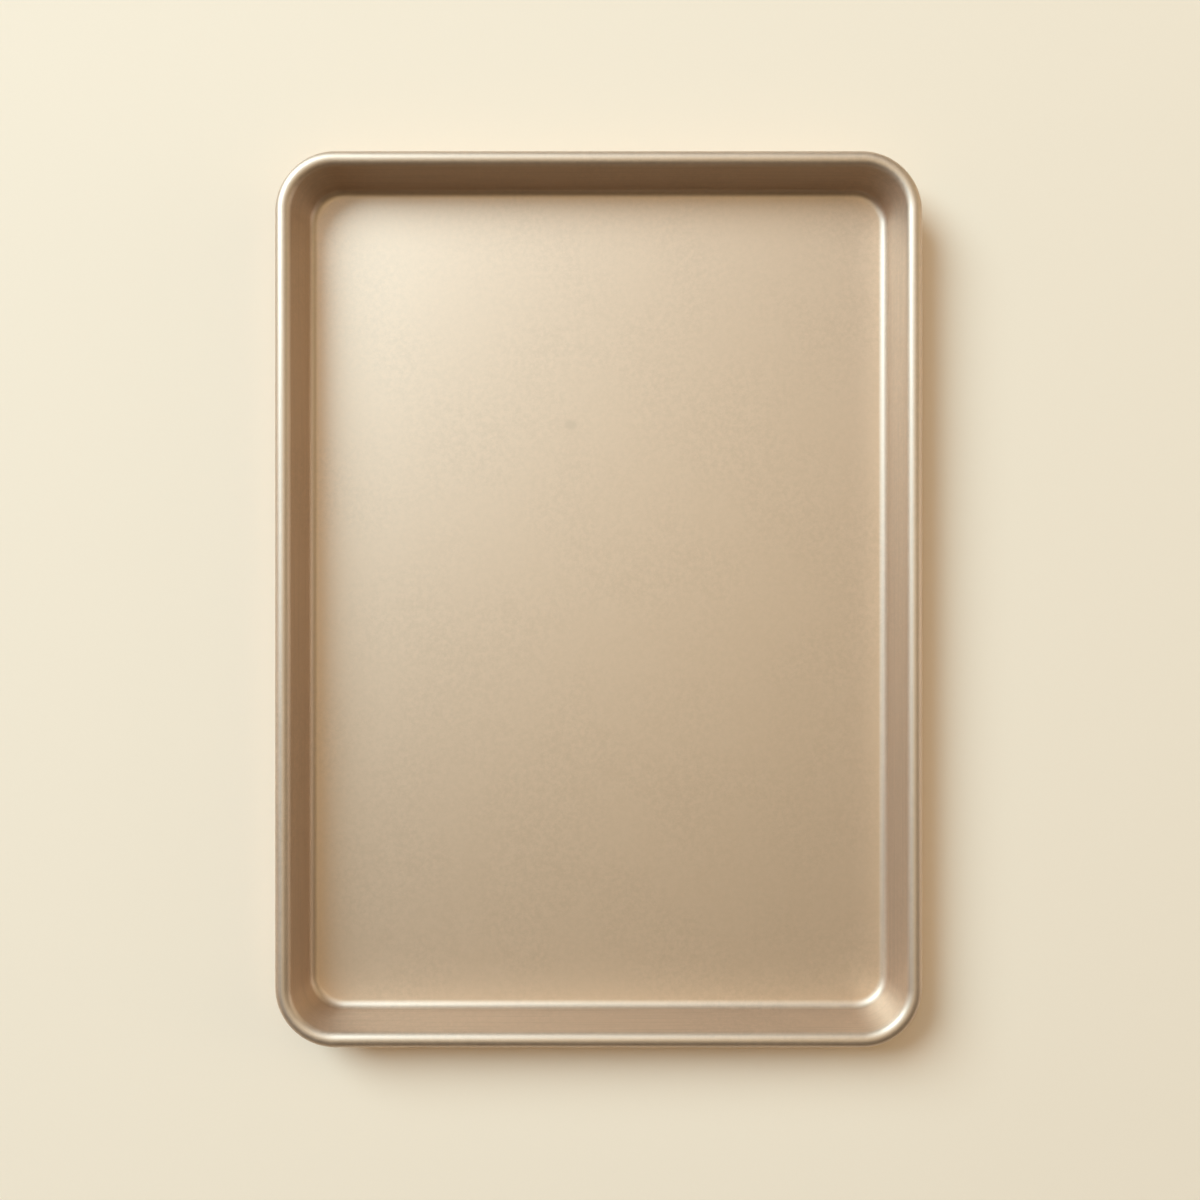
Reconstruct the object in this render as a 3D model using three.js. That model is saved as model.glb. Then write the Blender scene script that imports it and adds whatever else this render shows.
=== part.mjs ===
// Rimmed baking sheet: a tray pressed from one sheet of steel, with its rim rolled round a wire.
// Millimetres, +Z up. The long sides lie along Y, and the tray's open side faces up.
// The origin is the centre of the underside, on the surface that the tray stands on.
import * as THREE from "three";

// Overall sizes, over the outside of the rolled rim
const OVERALL_WIDTH = 330.2;
const OVERALL_LENGTH = 457.2;
const OVERALL_HEIGHT = 25.4;

// The pressed sheet
const SHEET_THICKNESS = 0.8;
const WALL_DRAFT = THREE.MathUtils.degToRad(14); // how far the wall leans out from upright
const FLOOR_BEND_RADIUS = 4.8; // inside the bend from the floor to the wall
const RIM_CORNER_RADIUS = 31; // in plan, at the outer edge of the rim

// The reinforcing wire and the roll that holds it
const WIRE_DIAMETER = 6.35;
const WIRE_CLEARANCE = 0.3; // between the wire and the inside of the roll
const WIRE_END_GAP = 0.8; // between the wire's two cut ends, which meet half way along a long side
const LIP_GAP = 0.5; // between the rolled edge of the sheet and the outside of the wall

// How finely the round stretches are divided
const CORNER_STEPS = 8; // in each quarter turn of the plan
const BEND_STEPS = 8; // in the floor's bend
const ROLL_STEPS = 5; // in each quarter turn of the roll
const WIRE_SIDES = 16;

const WIRE_RADIUS = WIRE_DIAMETER / 2;
const ROLL_INNER_RADIUS = WIRE_RADIUS + WIRE_CLEARANCE;
const ROLL_RADIUS = ROLL_INNER_RADIUS + SHEET_THICKNESS;
const ROLL_HEIGHT = OVERALL_HEIGHT - ROLL_RADIUS; // of the roll's centre, and the wire's

// Sections are drawn in two coordinates: x is the inset from the rim's outer edge, y is the height.
const rollCentre = new THREE.Vector2(ROLL_RADIUS, ROLL_HEIGHT);

// The floor's bend touches the floor, and the wall runs from it straight up to the roll, touching both.
function floorBendCentre() {
  const height = SHEET_THICKNESS + FLOOR_BEND_RADIUS;
  const reach = ROLL_RADIUS + FLOOR_BEND_RADIUS; // from centre to centre, square to the wall
  const rise = ROLL_HEIGHT - height;
  const inset = reach / Math.cos(WALL_DRAFT) + rise * Math.tan(WALL_DRAFT);
  return new THREE.Vector2(rollCentre.x + inset, height);
}
const bendCentre = floorBendCentre();

// Angles in the section run from the inward direction through straight up.
const UP = Math.PI / 2;
const OUTWARD = Math.PI;
const DOWN = 1.5 * Math.PI;
// The rolled edge stops where its outer corner is LIP_GAP away from the outside of the wall.
const ROLL_END = 2 * Math.PI + WALL_DRAFT - Math.acos((ROLL_INNER_RADIUS - LIP_GAP) / ROLL_RADIUS);

// A rounded rectangle at one inset and height, anticlockwise from above, beginning on the +X side.
// Rim, walls and floor all turn their corners about the same four centres.
function outline(inset, height) {
  const x = OVERALL_WIDTH / 2 - RIM_CORNER_RADIUS;
  const y = OVERALL_LENGTH / 2 - RIM_CORNER_RADIUS;
  const cornerRadius = RIM_CORNER_RADIUS - inset;
  const quarter = Math.PI / 2;
  const centres = [[x, y], [-x, y], [-x, -y], [x, -y]];
  return centres.flatMap(([cx, cy], corner) => {
    const arc = new THREE.EllipseCurve(
      cx, cy, cornerRadius, cornerRadius, corner * quarter, (corner + 1) * quarter,
    );
    return arc.getPoints(CORNER_STEPS).map((p) => new THREE.Vector3(p.x, p.y, height));
  });
}

// A closed solid skinned over rings of equally many points, with a flat cap on its first and last ring.
// Looking along the solid from its first ring to its last, each ring turns clockwise.
function solidOfRings(rings) {
  const size = rings[0].length;
  const points = rings.flat();
  const faces = [];
  for (let ring = 0; ring + 1 < rings.length; ring++) {
    for (let i = 0; i < size; i++) {
      const a = ring * size + i;
      const b = ring * size + ((i + 1) % size);
      faces.push(a, b, b + size, a, b + size, a + size);
    }
  }
  const addCap = (ring, turned) => {
    const middle = new THREE.Vector3();
    rings[ring].forEach((p) => middle.addScaledVector(p, 1 / size));
    const centre = points.push(middle) - 1;
    for (let i = 0; i < size; i++) {
      const edge = [ring * size + i, ring * size + ((i + 1) % size)];
      faces.push(centre, ...(turned ? edge.reverse() : edge));
    }
  };
  addCap(0, true);
  addCap(rings.length - 1, false);
  const geometry = new THREE.BufferGeometry().setFromPoints(points);
  geometry.setIndex(faces);
  geometry.computeVertexNormals();
  return geometry;
}

// Angles that pass through each mark in turn, with equally many steps from one mark to the next.
function anglesThrough(marks, steps) {
  const angles = [marks[0]];
  for (let mark = 1; mark < marks.length; mark++) {
    for (let i = 1; i <= steps; i++) {
      angles.push(THREE.MathUtils.lerp(marks[mark - 1], marks[mark], i / steps));
    }
  }
  return angles;
}

// The sheet's section as pairs of points, one on the food side and one on the underside,
// from the edge of the floor up the wall and round the roll to its cut edge.
function sheetSection() {
  const pairAt = (centre, foodRadius, undersideRadius) => (angle) => {
    const direction = new THREE.Vector2(Math.cos(angle), Math.sin(angle));
    return {
      food: direction.clone().multiplyScalar(foodRadius).add(centre),
      underside: direction.clone().multiplyScalar(undersideRadius).add(centre),
    };
  };
  const bend = anglesThrough([DOWN, OUTWARD + WALL_DRAFT], BEND_STEPS);
  const roll = anglesThrough([WALL_DRAFT, UP, OUTWARD, DOWN, ROLL_END], ROLL_STEPS);
  return [
    ...bend.map(pairAt(bendCentre, FLOOR_BEND_RADIUS, FLOOR_BEND_RADIUS + SHEET_THICKNESS)),
    ...roll.map(pairAt(rollCentre, ROLL_RADIUS, ROLL_INNER_RADIUS)),
  ];
}

// The tray: floor, walls and rolled rim in one pressed sheet of even thickness.
function panShell() {
  const section = sheetSection();
  const foodRings = section.map(({ food }) => outline(food.x, food.y));
  const undersideRings = section.map(({ underside }) => outline(underside.x, underside.y));
  const coat = new THREE.MeshStandardMaterial({ color: 0xcfb79f, roughness: 0.57, metalness: 1 });
  const shell = new THREE.Mesh(solidOfRings([...undersideRings, ...foodRings.reverse()]), coat);
  shell.name = "pan_shell";
  return shell;
}

// The wire: one length bent to the rim's outline, drawn about its own middle height.
function rimWire() {
  const sides = Array.from({ length: WIRE_SIDES }, (_, i) => {
    const angle = (2 * Math.PI * i) / WIRE_SIDES;
    return outline(rollCentre.x + WIRE_RADIUS * Math.cos(angle), WIRE_RADIUS * Math.sin(angle));
  });
  const bends = sides[0].map((_, station) => sides.map((side) => side[station]));
  const endAt = (y) => bends[0].map((p) => new THREE.Vector3(p.x, y, p.z));
  const stations = [endAt(WIRE_END_GAP / 2), ...bends, endAt(-WIRE_END_GAP / 2)];
  const steel = new THREE.MeshStandardMaterial({ color: 0xa3a6a8, roughness: 0.4, metalness: 1 });
  const wire = new THREE.Mesh(solidOfRings(stations), steel);
  wire.name = "rim_wire";
  wire.position.z = ROLL_HEIGHT;
  return wire;
}

const bakingSheet = new THREE.Group();
bakingSheet.name = "rimmed_baking_sheet";
bakingSheet.add(panShell(), rimWire());

export default bakingSheet;
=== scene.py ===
"""Rimmed baking sheet: the pressed tray, the wire in its rim, their finishes, and a studio seen from above.

Metres, +Z up. The long sides lie along Y, and the origin is the centre of the underside.
"""

import logging
import math
from dataclasses import dataclass, field
from enum import Enum

import bpy
import numpy as np
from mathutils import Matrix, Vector

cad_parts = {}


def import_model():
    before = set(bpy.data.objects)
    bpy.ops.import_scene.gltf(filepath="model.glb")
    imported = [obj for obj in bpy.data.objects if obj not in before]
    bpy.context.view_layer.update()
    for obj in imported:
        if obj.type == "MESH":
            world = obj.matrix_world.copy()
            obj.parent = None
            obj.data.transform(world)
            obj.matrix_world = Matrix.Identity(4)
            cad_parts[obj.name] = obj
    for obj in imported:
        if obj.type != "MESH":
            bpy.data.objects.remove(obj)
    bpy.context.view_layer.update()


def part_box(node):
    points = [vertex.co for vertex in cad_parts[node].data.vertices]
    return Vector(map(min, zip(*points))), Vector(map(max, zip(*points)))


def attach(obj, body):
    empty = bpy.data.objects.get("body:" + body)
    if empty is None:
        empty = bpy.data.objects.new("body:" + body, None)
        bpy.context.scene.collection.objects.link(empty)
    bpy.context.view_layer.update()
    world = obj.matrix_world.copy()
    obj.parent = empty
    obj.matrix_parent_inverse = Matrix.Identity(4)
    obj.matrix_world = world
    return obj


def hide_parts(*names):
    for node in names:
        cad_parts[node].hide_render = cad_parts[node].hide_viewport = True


LOG = logging.getLogger("baking_sheet")
BODY = "root"
MM = 0.001

# Sockets of the mix node when it mixes colours
MIX_LOW = 6
MIX_HIGH = 7
MIX_RESULT = 2

Array = np.ndarray
Span = tuple[float, float]
Colour = tuple[float, float, float]
Point = tuple[float, float, float]


class Face(Enum):
    """The two faces of the pressed sheet."""

    FOOD = "food"
    UNDERSIDE = "underside"


class Turn(Enum):
    """Directions in the tray's section, as angles from the inward direction through straight up."""

    OUTWARD = math.pi
    DOWN = 1.5 * math.pi
    FULL = 2.0 * math.pi


@dataclass(frozen=True)
class TraySizes:
    """Sizes of the pressed sheet and of the wire in its rim.

    The overall sizes are over the outside of the rolled rim, and come from the frame.
    """

    width: float
    length: float
    height: float
    sheet: float = 0.8 * MM
    wall_draft: float = math.radians(14.0)
    floor_bend: float = 4.8 * MM
    rim_corner: float = 31.0 * MM
    wire: float = 6.35 * MM
    wire_clearance: float = 0.3 * MM
    wire_end_gap: float = 0.8 * MM
    lip_gap: float = 0.5 * MM

    @classmethod
    def from_frame(cls) -> "TraySizes":
        """Takes the overall sizes from the box of the CAD shell.

        Returns:
            The sizes of the tray.
        """
        low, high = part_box("pan_shell")
        return cls(*(high - low))

    @property
    def roll_inner(self) -> float:
        """Inside radius of the rolled rim."""
        return 0.5 * self.wire + self.wire_clearance

    @property
    def roll_outer(self) -> float:
        """Outside radius of the rolled rim."""
        return self.roll_inner + self.sheet

    @property
    def roll_height(self) -> float:
        """Height of the middle of the roll, and of the wire."""
        return self.height - self.roll_outer

    @property
    def bend_height(self) -> float:
        """Height of the centre of the bend between floor and wall."""
        return self.sheet + self.floor_bend

    @property
    def bend_inset(self) -> float:
        """Inset of that centre from the rim's outer edge, which is where the flat floor ends.

        The wall is straight and touches both the bend and the roll. So the two centres lie apart by the sum
        of their radii, measured square to the wall, while their heights differ by the rise between them.

        Returns:
            The inset.
        """
        reach = self.roll_outer + self.floor_bend
        rise = self.roll_height - self.bend_height
        return self.roll_outer + reach / math.cos(self.wall_draft) + rise * math.tan(self.wall_draft)

    @property
    def roll_end(self) -> float:
        """Angle at which the roll stops, with its outer corner the lip gap away from the wall."""
        reach = math.acos((self.roll_inner - self.lip_gap) / self.roll_outer)
        return Turn.FULL.value + self.wall_draft - reach


@dataclass(frozen=True)
class Strip:
    """A run of points along the tray's section: inset from the rim's outer edge, and height."""

    inset: Array
    height: Array

    def reversed(self) -> "Strip":
        """The same points from last to first."""
        return Strip(self.inset[::-1], self.height[::-1])

    @classmethod
    def joined(cls, strips: list["Strip"]) -> "Strip":
        """Joins strips end to end, where each begins at the point that ends the one before.

        Args:
            strips: The strips, in order.

        Returns:
            One strip that holds each shared point once.
        """
        inset = np.concatenate([strips[0].inset] + [strip.inset[1:] for strip in strips[1:]])
        height = np.concatenate([strips[0].height] + [strip.height[1:] for strip in strips[1:]])
        return cls(inset, height)

    def run(self) -> Array:
        """Distance of each point from the first one, along the strip."""
        steps = np.hypot(np.diff(self.inset), np.diff(self.height))
        return np.concatenate([[0.0], np.cumsum(steps)])


@dataclass(frozen=True)
class RimPath:
    """Stations round the tray: along each side and through each corner, anticlockwise from above."""

    sizes: TraySizes
    corner_steps: int = 32
    long_steps: int = 48
    short_steps: int = 36

    def stations(self) -> tuple[Array, Array, Array]:
        """Corner centre and direction of each station.

        A corner holds its centre still while the direction turns through a quarter. A side holds its
        direction still while the centre slides from one corner to the next.

        Returns:
            Centre x and y as shares of the way out to a corner's centre, and the direction's angle.
        """
        quarter = 0.5 * math.pi
        signs = np.array([(1, 1), (-1, 1), (-1, -1), (1, -1)], float)
        centres, angles = [], []
        for corner in range(4):
            turn = np.linspace(0.0, 1.0, self.corner_steps + 1)
            centres.append(np.repeat(signs[corner][None], len(turn), axis=0))
            angles.append((corner + turn) * quarter)
            steps = self.long_steps if corner % 2 else self.short_steps
            slide = np.linspace(0.0, 1.0, steps + 1)[1:-1, None]
            following = signs[(corner + 1) % 4]
            centres.append(signs[corner] * (1.0 - slide) + following * slide)
            angles.append(np.full(len(slide), (corner + 1) * quarter))
        centre = np.concatenate(centres)
        return centre[:, 0], centre[:, 1], np.concatenate(angles)

    def place(self, inset: Array) -> tuple[Array, Array]:
        """Points round the tray at each inset.

        Every ring turns its corners about the same four centres, so its corner radius is the rim's less the
        inset, and a point is its centre plus that radius along the station's direction.

        Args:
            inset: One inset from the rim's outer edge for each row.

        Returns:
            Grids of x and y, by row and station.
        """
        sizes = self.sizes
        share_x, share_y, angle = self.stations()
        radius = (sizes.rim_corner - inset)[:, None]
        x = share_x * (0.5 * sizes.width - sizes.rim_corner) + radius * np.cos(angle)
        y = share_y * (0.5 * sizes.length - sizes.rim_corner) + radius * np.sin(angle)
        return x, y

    def _outer_steps(self) -> Array:
        """Distance along the rim's outer edge from each station to the next, all the way round."""
        x, y = self.place(np.zeros(1))
        return np.hypot(np.diff(x[0], append=x[0, :1]), np.diff(y[0], append=y[0, :1]))

    def lap(self) -> Array:
        """How far round the rim's outer edge each station lies, from 0 up to 1."""
        steps = self._outer_steps()
        return np.concatenate([[0.0], np.cumsum(steps)[:-1]]) / steps.sum()

    def perimeter(self) -> float:
        """Length of the rim's outer edge."""
        return float(self._outer_steps().sum())


def grid_faces(rows: int, columns: int) -> Array:
    """Quads of a grid whose columns close on themselves.

    Args:
        rows: Number of rows of points.
        columns: Number of points in each row.

    Returns:
        Four point numbers for each face, turning anticlockwise where rows climb and columns run right.
    """
    row = np.arange(rows - 1)[:, None] * columns
    here = np.arange(columns)[None]
    following = (here + 1) % columns
    corners = [row + here, row + following, row + columns + following, row + columns + here]
    return np.stack([np.broadcast_to(c, (rows - 1, columns)) for c in corners], axis=-1).reshape(-1, 4)


def fan_faces(first: int, columns: int, pole: int, turned: bool) -> Array:
    """Triangles from a ring of points to one pole.

    Args:
        first: Number of the ring's first point.
        columns: Number of points in the ring.
        pole: Number of the pole's point.
        turned: Whether the triangles turn the other way.

    Returns:
        Three point numbers for each face.
    """
    here = first + np.arange(columns)
    following = first + (np.arange(columns) + 1) % columns
    pair = [following, here] if turned else [here, following]
    return np.stack([*pair, np.full(columns, pole)], axis=-1)


def mesh_object(name: str, points: Array, faces: list[Array]) -> bpy.types.Object:
    """Makes a smooth mesh object at the origin.

    Args:
        name: Name of the piece.
        points: Place of each point.
        faces: Arrays of point numbers, one array for each number of corners.

    Returns:
        The linked object.
    """
    mesh = bpy.data.meshes.new(name)
    mesh.from_pydata(points.tolist(), [], [face for array in faces for face in array.tolist()])
    mesh.polygons.foreach_set("use_smooth", np.ones(len(mesh.polygons), bool))
    mesh.validate()
    piece = bpy.data.objects.new(name, mesh)
    bpy.context.scene.collection.objects.link(piece)
    return piece


def vector_attribute(piece: bpy.types.Object, name: str, values: Array) -> None:
    """Stores one vector for each point of a piece, for its material to read.

    Args:
        piece: The mesh object.
        name: Name of the attribute.
        values: One row of three numbers for each point.
    """
    attribute = piece.data.attributes.new(name, "FLOAT_VECTOR", "POINT")
    attribute.data.foreach_set("vector", np.ascontiguousarray(values, np.float32).ravel())


class NodeBoard:
    """A material's node tree, with short calls for the nodes that the finishes use."""

    def __init__(self, name: str) -> None:
        """Starts a material with an output and a Principled shader.

        Args:
            name: Name of the material.
        """
        self.material = bpy.data.materials.new(name)
        self.material.use_nodes = True
        self.tree = self.material.node_tree
        self.tree.nodes.clear()
        self.shader = self.tree.nodes.new("ShaderNodeBsdfPrincipled")
        output = self.tree.nodes.new("ShaderNodeOutputMaterial")
        self.tree.links.new(self.shader.outputs["BSDF"], output.inputs["Surface"])

    def link(self, source: bpy.types.NodeSocket, target: bpy.types.NodeSocket) -> None:
        """Joins two sockets."""
        self.tree.links.new(source, target)

    def set(self, **values: float | Colour) -> None:
        """Sets plain numbers and colours on the shader's own sockets.

        Args:
            values: Socket names, with underscores for spaces, and their values.
        """
        for name, value in values.items():
            socket = self.shader.inputs[name.replace("_", " ").title()]
            socket.default_value = (*value, 1.0) if isinstance(value, tuple) else value

    def object_coordinates(self) -> bpy.types.NodeSocket:
        """The piece's own coordinates, in metres."""
        return self.tree.nodes.new("ShaderNodeTexCoord").outputs["Object"]

    def attribute(self, name: str) -> bpy.types.NodeSocket:
        """A vector attribute of the piece.

        Args:
            name: Name of the attribute.

        Returns:
            The attribute's vector.
        """
        node = self.tree.nodes.new("ShaderNodeAttribute")
        node.attribute_name = name
        return node.outputs["Vector"]

    def mapping(
        self, vector: bpy.types.NodeSocket, location: Point = (0, 0, 0), scale: Point = (1, 1, 1)
    ) -> bpy.types.NodeSocket:
        """Moves and stretches coordinates.

        Args:
            vector: The coordinates.
            location: What is added after stretching.
            scale: The stretch along each axis.

        Returns:
            The changed coordinates.
        """
        node = self.tree.nodes.new("ShaderNodeMapping")
        node.inputs["Location"].default_value = location
        node.inputs["Scale"].default_value = scale
        self.link(vector, node.inputs["Vector"])
        return node.outputs["Vector"]

    def noise(
        self, vector: bpy.types.NodeSocket, scale: float, detail: float = 2.0, roughness: float = 0.5
    ) -> bpy.types.NodeSocket:
        """Cloudy noise between 0 and 1.

        Args:
            vector: The coordinates.
            scale: Clouds in one unit of length.
            detail: How many finer layers are added.
            roughness: How strong those are.

        Returns:
            The noise value.
        """
        node = self.tree.nodes.new("ShaderNodeTexNoise")
        node.inputs["Scale"].default_value = scale
        node.inputs["Detail"].default_value = detail
        node.inputs["Roughness"].default_value = roughness
        self.link(vector, node.inputs["Vector"])
        return node.outputs["Fac"]

    def remap(
        self, value: bpy.types.NodeSocket, source: Span, target: Span = (0.0, 1.0)
    ) -> bpy.types.NodeSocket:
        """Maps one range smoothly onto another and holds it there.

        Args:
            value: The value to map.
            source: Where the value's range begins and ends.
            target: What those become.

        Returns:
            The mapped value.
        """
        node = self.tree.nodes.new("ShaderNodeMapRange")
        node.interpolation_type = "SMOOTHSTEP"
        node.inputs["From Min"].default_value = source[0]
        node.inputs["From Max"].default_value = source[1]
        node.inputs["To Min"].default_value = target[0]
        node.inputs["To Max"].default_value = target[1]
        self.link(value, node.inputs["Value"])
        return node.outputs["Result"]

    def product(self, first: bpy.types.NodeSocket, second: bpy.types.NodeSocket) -> bpy.types.NodeSocket:
        """Multiplies two values.

        Args:
            first: The first value.
            second: The second value.

        Returns:
            Their product.
        """
        node = self.tree.nodes.new("ShaderNodeMath")
        node.operation = "MULTIPLY"
        self.link(first, node.inputs[0])
        self.link(second, node.inputs[1])
        return node.outputs["Value"]

    def part(self, vector: bpy.types.NodeSocket, axis: str) -> bpy.types.NodeSocket:
        """Takes one number out of a vector.

        Args:
            vector: The vector.
            axis: Which of its numbers, as X, Y or Z.

        Returns:
            The number.
        """
        node = self.tree.nodes.new("ShaderNodeSeparateXYZ")
        self.link(vector, node.inputs["Vector"])
        return node.outputs[axis]

    def length(self, vector: bpy.types.NodeSocket) -> bpy.types.NodeSocket:
        """Measures a vector.

        Args:
            vector: The vector.

        Returns:
            Its length.
        """
        node = self.tree.nodes.new("ShaderNodeVectorMath")
        node.operation = "LENGTH"
        self.link(vector, node.inputs[0])
        return node.outputs["Value"]

    def tint(
        self,
        factor: bpy.types.NodeSocket,
        low: bpy.types.NodeSocket | Colour,
        high: bpy.types.NodeSocket | Colour,
    ) -> bpy.types.NodeSocket:
        """Goes from one colour to another.

        Args:
            factor: 0 for the first colour and 1 for the second.
            low: The first colour.
            high: The second colour.

        Returns:
            The mixed colour.
        """
        node = self.tree.nodes.new("ShaderNodeMix")
        node.data_type = "RGBA"
        self.link(factor, node.inputs["Factor"])
        for socket, colour in ((node.inputs[MIX_LOW], low), (node.inputs[MIX_HIGH], high)):
            if isinstance(colour, tuple):
                socket.default_value = (*colour, 1.0)
            else:
                self.link(colour, socket)
        return node.outputs[MIX_RESULT]

    def bump(self, height: bpy.types.NodeSocket, strength: float, distance: float) -> None:
        """Lets a height field tilt the shader's normal.

        Args:
            height: The height, from 0 to 1.
            strength: How much of the tilt is used.
            distance: The real height of 1, in metres.
        """
        node = self.tree.nodes.new("ShaderNodeBump")
        node.inputs["Strength"].default_value = strength
        node.inputs["Distance"].default_value = distance
        self.link(height, node.inputs["Height"])
        self.link(node.outputs["Normal"], self.shader.inputs["Normal"])


def shade(colour: Colour, share: float) -> Colour:
    """A colour times a share, which makes it lighter above 1 and darker below."""
    red, green, blue = colour
    return (red * share, green * share, blue * share)


@dataclass(frozen=True)
class ChampagneCoat:
    """Baked-on non-stick coat: a satin champagne film of fine metal flake, under a clear resin skin."""

    name: str = "champagne_coat"
    colour: Colour = (0.635, 0.475, 0.348)
    metallic: float = 1.0
    edge_tint: Colour = (1.0, 0.93, 0.85)
    roughness: float = 0.57
    roughness_swing: float = 0.03
    roughness_range: Span = (0.25, 0.75)
    skin_weight: float = 0.8
    skin_roughness: float = 0.38
    grain_size: float = 3.0 * MM
    grain_layers: float = 4.0
    grain_layer_strength: float = 0.85
    grain_range: Span = (0.3, 0.7)
    grain_swing: float = 0.07
    grain_depth: float = 0.02 * MM
    grain_tilt: float = 0.35
    cloud_size: float = 60.0 * MM
    cloud_range: Span = (0.35, 0.65)
    cloud_share: float = 0.5
    cloud_lift: float = 0.03
    streak_width: float = 0.9 * MM
    streak_length: float = 70.0 * MM
    streak_fade: float = 4.0 * MM
    streak_range: Span = (0.42, 0.72)
    streak_share: float = 0.5
    streak_drop: float = 0.12
    smudge_place: tuple[float, float] = (-14.8 * MM, 92.2 * MM)
    smudge_size: tuple[float, float] = (10.0 * MM, 7.0 * MM)
    smudge_range: Span = (0.3, 1.0)
    smudge_share: float = 0.55
    smudge_drop: float = 0.18

    def material(self) -> bpy.types.Material:
        """Builds the coat's nodes.

        Flake grain and broad clouds vary the colour everywhere. Drawing streaks follow the walls and the
        roll, where the attribute rim_run counts the distance along the section and round the rim, and come
        in over the streak_fade above the floor's edge.

        A noise begins to count at the low end of its range and counts in full at the high end. The grain
        takes the colour from one swing darker to one swing lighter. Clouds, streaks and smudge take their
        share of it towards a shade that is lighter by the lift or darker by the drop.

        Returns:
            The material.
        """
        board = NodeBoard(self.name)
        place = board.object_coordinates()
        run = board.attribute("rim_run")

        grain = board.noise(place, 1.0 / self.grain_size, self.grain_layers, self.grain_layer_strength)
        clouds = board.noise(place, 1.0 / self.cloud_size)
        streak_scale = (1.0 / self.streak_length, 1.0 / self.streak_length, 1.0 / self.streak_width)
        streaks = board.noise(board.mapping(run, scale=streak_scale), 1.0)
        on_wall = board.remap(board.part(run, "Z"), (0.0, self.streak_fade))

        dark, light = shade(self.colour, 1.0 - self.grain_swing), shade(self.colour, 1.0 + self.grain_swing)
        colour = board.tint(board.remap(grain, self.grain_range), dark, light)
        clouded = board.remap(clouds, self.cloud_range, (0.0, self.cloud_share))
        colour = board.tint(clouded, colour, shade(self.colour, 1.0 + self.cloud_lift))
        streaked = board.product(board.remap(streaks, self.streak_range, (0.0, self.streak_share)), on_wall)
        colour = board.tint(streaked, colour, shade(self.colour, 1.0 - self.streak_drop))
        smudged = self._smudge(board, place)
        colour = board.tint(smudged, colour, shade(self.colour, 1.0 - self.smudge_drop))
        board.link(colour, board.shader.inputs["Base Color"])

        smooth, rough = self.roughness - self.roughness_swing, self.roughness + self.roughness_swing
        roughness = board.remap(grain, self.roughness_range, (smooth, rough))
        board.link(roughness, board.shader.inputs["Roughness"])
        board.set(
            metallic=self.metallic,
            specular_tint=self.edge_tint,
            coat_weight=self.skin_weight,
            coat_roughness=self.skin_roughness,
        )
        board.bump(grain, self.grain_tilt, self.grain_depth)
        return board.material

    def _smudge(self, board: NodeBoard, place: bpy.types.NodeSocket) -> bpy.types.NodeSocket:
        """A faint rubbed mark on the floor, as an ellipse that fades outwards from its middle.

        It fades where the distance from its middle, counted in half sizes, passes through the range.

        Args:
            board: The coat's nodes.
            place: The piece's own coordinates.

        Returns:
            How strongly the mark shows.
        """
        (x, y), (wide, high) = self.smudge_place, self.smudge_size
        scale = (2.0 / wide, 2.0 / high, 0.0)
        moved = board.mapping(place, location=(-x * scale[0], -y * scale[1], 0.0), scale=scale)
        return board.remap(board.length(moved), self.smudge_range, (self.smudge_share, 0.0))


@dataclass(frozen=True)
class GalvanisedWire:
    """Drawn steel wire with a dull zinc skin."""

    name: str = "galvanised_wire"
    colour: Colour = (0.42, 0.43, 0.44)
    shades: Span = (0.75, 1.15)
    shade_range: Span = (0.1, 0.4)
    roughness: float = 0.42
    roughness_swing: float = 0.08
    roughness_range: Span = (0.3, 0.7)
    clouds_per_metre: float = 300.0
    cloud_layers: float = 3.0
    line_length: float = 30.0 * MM
    line_width: float = 0.35 * MM
    line_depth: float = 0.02 * MM
    line_tilt: float = 0.2

    def material(self) -> bpy.types.Material:
        """Builds the wire's nodes: drawing lines along its length, and cloudy zinc.

        Returns:
            The material.
        """
        board = NodeBoard(self.name)
        run = board.attribute("rim_run")
        scale = (1.0 / self.line_length, 1.0 / self.line_width, 1.0 / self.line_width)
        lines = board.noise(board.mapping(run, scale=scale), 1.0)
        clouds = board.noise(board.object_coordinates(), self.clouds_per_metre, self.cloud_layers)
        share = board.remap(board.product(lines, clouds), self.shade_range)
        dark, light = (shade(self.colour, part) for part in self.shades)
        board.link(board.tint(share, dark, light), board.shader.inputs["Base Color"])
        smooth, rough = self.roughness - self.roughness_swing, self.roughness + self.roughness_swing
        roughness = board.remap(lines, self.roughness_range, (smooth, rough))
        board.link(roughness, board.shader.inputs["Roughness"])
        board.set(metallic=1.0)
        board.bump(lines, self.line_tilt, self.line_depth)
        return board.material


@dataclass(frozen=True)
class BackdropPaper:
    """Matt cream paper under the tray."""

    name: str = "backdrop_paper"
    colour: Colour = (0.89, 0.695, 0.522)
    roughness: float = 0.9
    tooth_per_metre: float = 900.0
    tooth_swing: float = 0.01

    def material(self) -> bpy.types.Material:
        """Builds the paper's nodes: cream with a very faint tooth.

        Returns:
            The material.
        """
        board = NodeBoard(self.name)
        tooth = board.noise(board.object_coordinates(), self.tooth_per_metre)
        dark, light = shade(self.colour, 1.0 - self.tooth_swing), shade(self.colour, 1.0 + self.tooth_swing)
        board.link(board.tint(tooth, dark, light), board.shader.inputs["Base Color"])
        board.set(roughness=self.roughness)
        return board.material


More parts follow.
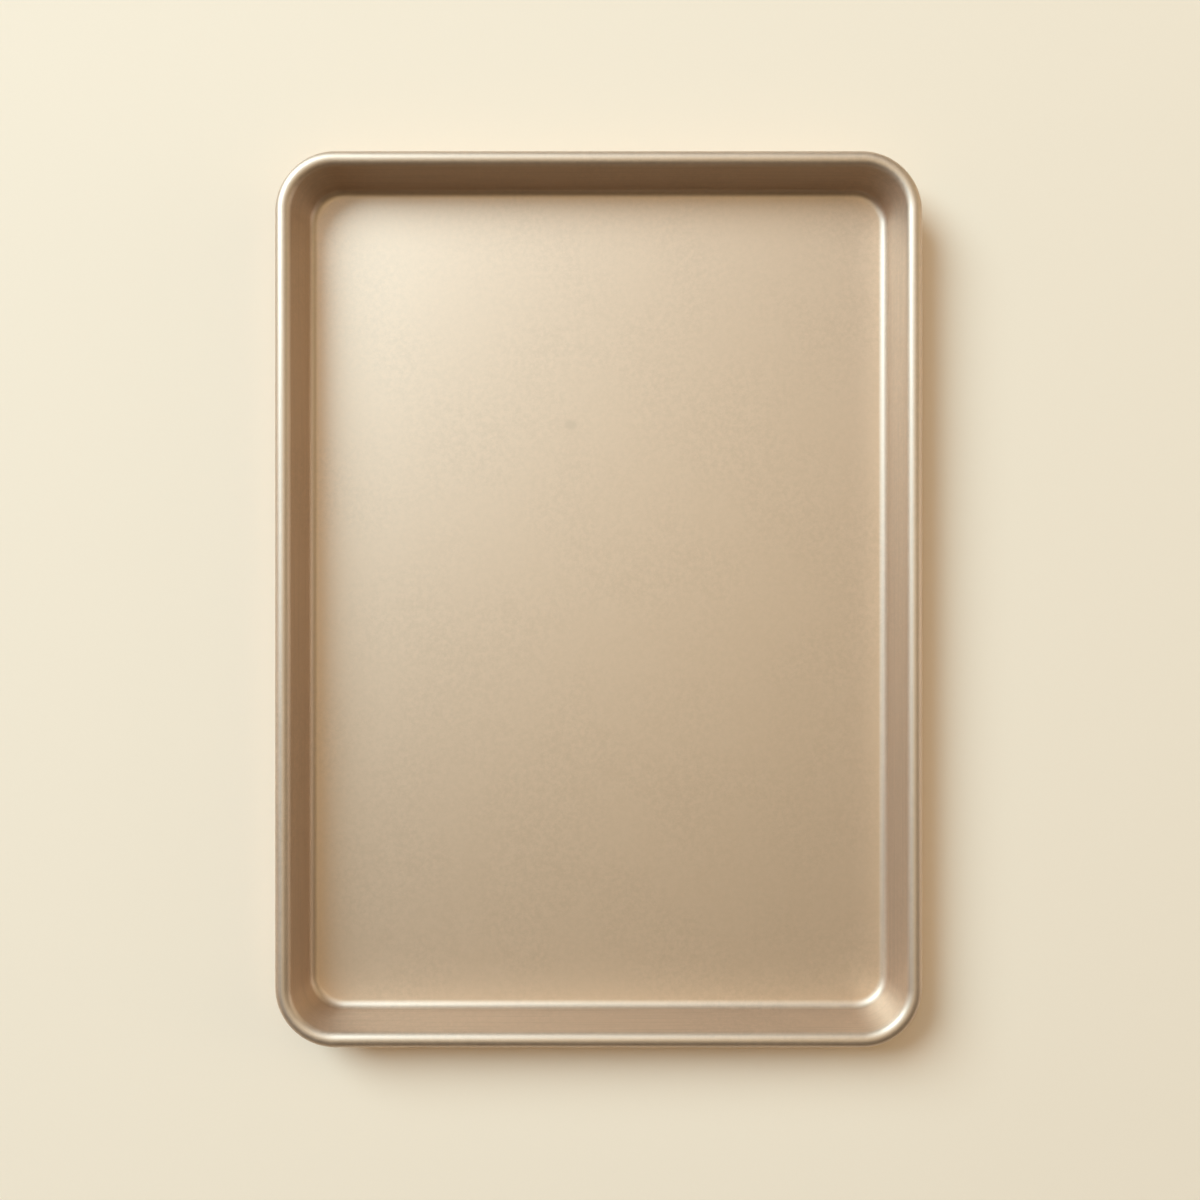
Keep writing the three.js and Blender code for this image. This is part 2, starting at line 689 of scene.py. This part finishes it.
@dataclass
class PanShell:
    """The tray: floor, walls and rolled rim in one pressed sheet."""

    sizes: TraySizes
    path: RimPath
    finish: ChampagneCoat = field(default_factory=ChampagneCoat)
    node: str = "pan_shell"
    bend_steps: int = 16
    wall_steps: int = 8
    roll_steps: int = 64
    lip_steps: int = 6
    floor_steps: int = 10
    lip_bulge: float = 0.2 * MM

    def _arc(
        self, centre: tuple[float, float], radius: float, start: float, end: float, steps: int
    ) -> Strip:
        """Points on a circle, equally far apart.

        Args:
            centre: Inset and height of the circle's centre.
            radius: Its radius.
            start: First angle.
            end: Last angle.
            steps: Number of steps between them.

        Returns:
            The strip of points.
        """
        angle = np.linspace(start, end, steps + 1)
        return Strip(centre[0] + radius * np.cos(angle), centre[1] + radius * np.sin(angle))

    def face_strip(self, face: Face) -> Strip:
        """One face of the sheet, from the edge of the floor up the wall and round the roll.

        The bend is an arc from straight down to the wall's lean, the wall runs straight from its end to
        where the roll begins, and the roll is an arc of nearly a full turn. The two faces share both
        centres, and their radii differ by the sheet's thickness.

        Args:
            face: Which face of the sheet.

        Returns:
            The strip of points.
        """
        sizes = self.sizes
        outside = face is Face.UNDERSIDE
        bend_radius = sizes.floor_bend + (sizes.sheet if outside else 0.0)
        roll_radius = sizes.roll_inner if outside else sizes.roll_outer
        lean = Turn.OUTWARD.value + sizes.wall_draft
        bend_centre = (sizes.bend_inset, sizes.bend_height)
        roll_centre = (sizes.roll_outer, sizes.roll_height)
        bend = self._arc(bend_centre, bend_radius, Turn.DOWN.value, lean, self.bend_steps)
        roll = self._arc(roll_centre, roll_radius, sizes.wall_draft, sizes.roll_end, self.roll_steps)
        share = np.linspace(0.0, 1.0, self.wall_steps + 1)
        wall = Strip(
            bend.inset[-1] + share * (roll.inset[0] - bend.inset[-1]),
            bend.height[-1] + share * (roll.height[0] - bend.height[-1]),
        )
        return Strip.joined([bend, wall, roll])

    def lip_strip(self) -> Strip:
        """The cut edge of the sheet, as half an ellipse from the inside of the roll to its outside.

        Through half a turn, the cosine carries a point across the sheet's thickness, and the sine carries
        it ahead of the cut by up to the bulge.

        Returns:
            The strip of points.
        """
        sizes = self.sizes
        sweep = np.linspace(0.0, math.pi, self.lip_steps + 1)
        radius = sizes.roll_inner + 0.5 * sizes.sheet * (1.0 - np.cos(sweep))
        ahead = self.lip_bulge * np.sin(sweep)
        end = sizes.roll_end
        inset = sizes.roll_outer + radius * math.cos(end) - ahead * math.sin(end)
        height = sizes.roll_height + radius * math.sin(end) + ahead * math.cos(end)
        return Strip(inset, height)

    def build(self) -> bpy.types.Object:
        """Carries the section round the rim, and closes both faces of the floor with shrinking rings.

        A point of the section is placed by its inset and height. A floor ring is the floor's edge shrunk
        towards the middle of the tray, and the last one meets in a single point.

        Returns:
            The tray's object.
        """
        underside = self.face_strip(Face.UNDERSIDE)
        food = self.face_strip(Face.FOOD)
        section = Strip.joined([underside, self.lip_strip(), food.reversed()])
        shrink = np.linspace(0.0, 1.0, self.floor_steps + 1)[1:-1]
        inset = np.concatenate([
            np.full(len(shrink), section.inset[0]),
            section.inset,
            np.full(len(shrink), section.inset[-1]),
        ])
        height = np.concatenate([
            np.full(len(shrink), section.height[0]),
            section.height,
            np.full(len(shrink), section.height[-1]),
        ])
        spread = np.concatenate([shrink, np.ones(len(section.inset)), shrink[::-1]])
        x, y = self.path.place(inset)
        x, y = x * spread[:, None], y * spread[:, None]
        rows, columns = x.shape
        z = np.broadcast_to(height[:, None], x.shape)
        grid = np.stack([x, y, z], axis=-1).reshape(-1, 3)
        poles = np.array([[0.0, 0.0, height[0]], [0.0, 0.0, height[-1]]])
        count = rows * columns
        faces = [
            grid_faces(rows, columns),
            fan_faces(0, columns, count, turned=True),
            fan_faces(count - columns, columns, count + 1, turned=False),
        ]
        piece = mesh_object("tray_shell", np.concatenate([grid, poles]), faces)
        vector_attribute(piece, "rim_run", self._rim_run(section, len(shrink)))
        return piece

    def _rim_run(self, section: Strip, floor_rows: int) -> Array:
        """Coordinates that follow the sheet: a circle for the way round, and the way up from the floor.

        The way round is wound onto a circle of the rim's length, so that a pattern on it has no seam.

        Args:
            section: The whole section.
            floor_rows: Number of rows on each face of the floor.

        Returns:
            One vector for each point of the tray.
        """
        run = section.run()
        rise = np.minimum(run, run[-1] - run)
        rise = np.concatenate([np.zeros(floor_rows), rise, np.zeros(floor_rows)])
        lap = 2.0 * math.pi * self.path.lap()
        radius = self.path.perimeter() / (2.0 * math.pi)
        shape = (len(rise), len(lap))
        around_x = np.broadcast_to(radius * np.cos(lap), shape)
        around_y = np.broadcast_to(radius * np.sin(lap), shape)
        up = np.broadcast_to(rise[:, None], shape)
        vectors = np.stack([around_x, around_y, up], axis=-1).reshape(-1, 3)
        return np.concatenate([vectors, np.zeros((2, 3))])

    def dress(self, piece: bpy.types.Object) -> None:
        """Gives the tray its coat and its place in the frame.

        Args:
            piece: The tray's object.
        """
        piece.data.materials.append(self.finish.material())
        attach(piece, BODY)
        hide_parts(self.node)


@dataclass
class RimWire:
    """The wire that stiffens the rim, bent to its outline, with two cut ends that meet on a long side."""

    sizes: TraySizes
    path: RimPath
    finish: GalvanisedWire = field(default_factory=GalvanisedWire)
    node: str = "rim_wire"
    sides: int = 24

    def build(self) -> bpy.types.Object:
        """Carries a circle round the rim, from one side of the end gap to the other.

        A point's inset and height are the roll's centre plus the wire's radius along its angle. The rings
        begin at the station nearest to the middle of the right-hand long side. The first and the last ring
        stand half the end gap to either side of that middle.

        Returns:
            The wire's object.
        """
        sizes = self.sizes
        radius = 0.5 * sizes.wire
        angle = np.linspace(0.0, 2.0 * math.pi, self.sides, endpoint=False)
        inset = sizes.roll_outer + radius * np.cos(angle)
        height = sizes.roll_height + radius * np.sin(angle)
        x, y = self.path.place(inset)
        middle = int(np.argmin(np.abs(y[0]) + np.where(x[0] > 0.0, 0.0, sizes.length)))
        x, y = np.roll(x, -middle, axis=1).T, np.roll(y, -middle, axis=1).T
        half_gap = 0.5 * sizes.wire_end_gap
        x = np.concatenate([x, x[:1]])
        y = np.concatenate([np.full((1, self.sides), half_gap), y[1:], np.full((1, self.sides), -half_gap)])
        z = np.broadcast_to(height, x.shape)
        rows = len(x)
        ends = np.array([
            [x[0].mean(), half_gap, sizes.roll_height],
            [x[-1].mean(), -half_gap, sizes.roll_height],
        ])
        count = rows * self.sides
        faces = [
            grid_faces(rows, self.sides),
            fan_faces(0, self.sides, count, turned=True),
            fan_faces(count - self.sides, self.sides, count + 1, turned=False),
        ]
        points = np.concatenate([np.stack([x, y, z], axis=-1).reshape(-1, 3), ends])
        piece = mesh_object("rim_wire_drawn", points, faces)
        steps = np.hypot(np.diff(x[:, 0]), np.diff(y[:, 0]))
        along = np.concatenate([[0.0], np.cumsum(steps)])
        vectors = np.stack([
            np.broadcast_to(along[:, None], x.shape),
            np.broadcast_to(radius * np.cos(angle), x.shape),
            np.broadcast_to(radius * np.sin(angle), x.shape),
        ], axis=-1).reshape(-1, 3)
        vector_attribute(piece, "rim_run", np.concatenate([vectors, np.zeros((2, 3))]))
        return piece

    def dress(self, piece: bpy.types.Object) -> None:
        """Gives the wire its zinc and its place in the frame.

        Args:
            piece: The wire's object.
        """
        piece.data.materials.append(self.finish.material())
        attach(piece, BODY)
        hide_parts(self.node)


@dataclass(frozen=True)
class Softbox:
    """A round diffused lamp that faces the tray from far off."""

    name: str
    azimuth: float
    tilt: float
    spread: float
    colour: Colour
    power: float
    distance: float = 6.0

    def hang(self) -> None:
        """Hangs the lamp on its line from the tray, and makes its disk look as wide as its spread.

        The line leans from straight up by the tilt, towards the azimuth, which turns from the tray's right
        towards its back.
        """
        lamp = bpy.data.lights.new(self.name, "AREA")
        lamp.shape = "DISK"
        lamp.size = 2.0 * self.distance * math.tan(0.5 * math.radians(self.spread))
        lamp.color = self.colour
        lamp.energy = self.power
        light = bpy.data.objects.new(self.name, lamp)
        azimuth, tilt = math.radians(self.azimuth), math.radians(self.tilt)
        across = math.sin(tilt)
        line = Vector((across * math.cos(azimuth), across * math.sin(azimuth), math.cos(tilt)))
        light.location = line * self.distance
        light.rotation_euler = line.to_track_quat("Z", "Y").to_euler()
        bpy.context.scene.collection.objects.link(light)


@dataclass
class Studio:
    """Cream paper in a tan room, a large cool light from the back left, and weak lights all round."""

    finish: BackdropPaper = field(default_factory=BackdropPaper)
    paper_half_size: float = 0.55
    paper_gap: float = 0.05 * MM
    lamps: tuple[Softbox, ...] = (
        Softbox("key_softbox", 139.0, 53.0, 36.0, (0.59, 0.832, 1.0), 516.0),
        Softbox("key_top", 141.0, 30.0, 40.0, (0.20, 0.58, 1.0), 34.0),
        Softbox("overhead", 0.0, 0.0, 50.0, (1.0, 0.85, 0.54), 97.0),
        Softbox("back_bounce", 90.0, 40.0, 40.0, (0.98, 0.95, 0.90), 61.0),
        Softbox("right_bounce", 22.0, 61.0, 34.0, (1.0, 0.90, 0.54), 41.0),
        Softbox("right_low", 0.0, 79.0, 22.0, (1.0, 0.99, 0.97), 33.0),
        Softbox("left_bounce", 180.0, 62.0, 30.0, (1.0, 0.47, 0.16), 21.0),
    )
    horizon_colour: Colour = (0.50, 0.41, 0.28)
    ceiling_colour: Colour = (0.03, 0.018, 0.01)
    wall_top: float = 0.35

    def paper(self) -> None:
        """Lays the paper just under the tray."""
        half = self.paper_half_size
        corners = np.array([(-half, -half, 0.0), (half, -half, 0.0), (half, half, 0.0), (-half, half, 0.0)])
        floor = mesh_object("backdrop_paper", corners, [np.array([[0, 1, 2, 3]])])
        floor.location.z = -self.paper_gap
        floor.data.materials.append(self.finish.material())

    def world(self) -> None:
        """Sets the room: pale at the horizon, and darker above.

        A direction's share of the ceiling colour rises smoothly from 0 at the horizon to 1 where the sine
        of its height reaches wall_top.
        """
        world = bpy.data.worlds.new("studio")
        bpy.context.scene.world = world
        world.use_nodes = True
        tree = world.node_tree
        tree.nodes.clear()
        direction = tree.nodes.new("ShaderNodeTexCoord")
        height = tree.nodes.new("ShaderNodeSeparateXYZ")
        tree.links.new(direction.outputs["Generated"], height.inputs["Vector"])
        share = tree.nodes.new("ShaderNodeMapRange")
        share.interpolation_type = "SMOOTHSTEP"
        share.inputs["From Max"].default_value = self.wall_top
        tree.links.new(height.outputs["Z"], share.inputs["Value"])
        mix = tree.nodes.new("ShaderNodeMix")
        mix.data_type = "RGBA"
        mix.inputs[MIX_LOW].default_value = (*self.horizon_colour, 1.0)
        mix.inputs[MIX_HIGH].default_value = (*self.ceiling_colour, 1.0)
        tree.links.new(share.outputs["Result"], mix.inputs["Factor"])
        light = tree.nodes.new("ShaderNodeBackground")
        tree.links.new(mix.outputs[MIX_RESULT], light.inputs["Color"])
        output = tree.nodes.new("ShaderNodeOutputWorld")
        tree.links.new(light.outputs["Background"], output.inputs["Surface"])

    def build(self) -> None:
        """Sets up the paper, the lights and plain colour output."""
        self.paper()
        for lamp in self.lamps:
            lamp.hang()
        self.world()
        bpy.context.scene.view_settings.view_transform = "Standard"


@dataclass
class TopCamera:
    """Camera straight above the tray, framed by where the rim's outer edge lies in the photograph."""

    sizes: TraySizes
    frame_px: float = 1200.0
    rim_left_px: float = 274.8
    rim_right_px: float = 922.5
    rim_top_px: float = 151.7
    rim_bottom_px: float = 1046.8
    lens: float = 35.0
    sensor: float = 36.0
    clip_start: float = 1.0 * MM

    def height_for(self, half_px: float, half_size: float) -> float:
        """Height at which the roll's outline lies that many pixels from the middle of the picture.

        The line of sight at that pixel touches the outside of the roll, so it passes the roll's centre at
        the distance of the roll's radius.

        Args:
            half_px: Pixels from the picture's middle to the outline.
            half_size: The tray's half width or half length.

        Returns:
            The camera's height.
        """
        roll = self.sizes.roll_outer
        sight = math.atan(half_px / self.frame_px * self.sensor / self.lens)
        return self.sizes.roll_height + ((half_size - roll) * math.cos(sight) + roll) / math.sin(sight)

    def build(self) -> None:
        """Sets up the camera."""
        wide_px = self.rim_right_px - self.rim_left_px
        high_px = self.rim_bottom_px - self.rim_top_px
        heights = (
            self.height_for(0.5 * wide_px, 0.5 * self.sizes.width),
            self.height_for(0.5 * high_px, 0.5 * self.sizes.length),
        )
        scale = (self.sizes.width + self.sizes.length) / (wide_px + high_px)
        camera = bpy.data.objects.new("camera", bpy.data.cameras.new("camera"))
        camera.data.lens = self.lens
        camera.data.sensor_width = self.sensor
        camera.location = (
            scale * 0.5 * (self.frame_px - self.rim_left_px - self.rim_right_px),
            -scale * 0.5 * (self.frame_px - self.rim_top_px - self.rim_bottom_px),
            sum(heights) / len(heights),
        )
        camera.data.clip_start = self.clip_start
        bpy.context.scene.collection.objects.link(camera)
        bpy.context.scene.camera = camera


def main() -> None:
    """Loads the frame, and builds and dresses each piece."""
    logging.basicConfig(level=logging.INFO, format="%(name)s: %(message)s")
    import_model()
    sizes = TraySizes.from_frame()
    TopCamera(sizes).build()
    path = RimPath(sizes)
    for part in (PanShell(sizes, path), RimWire(sizes, path)):
        piece = part.build()
        part.dress(piece)
        LOG.info("%s stands for %s with %d faces", piece.name, part.node, len(piece.data.polygons))
    Studio().build()


if __name__ == "__main__":
    main()
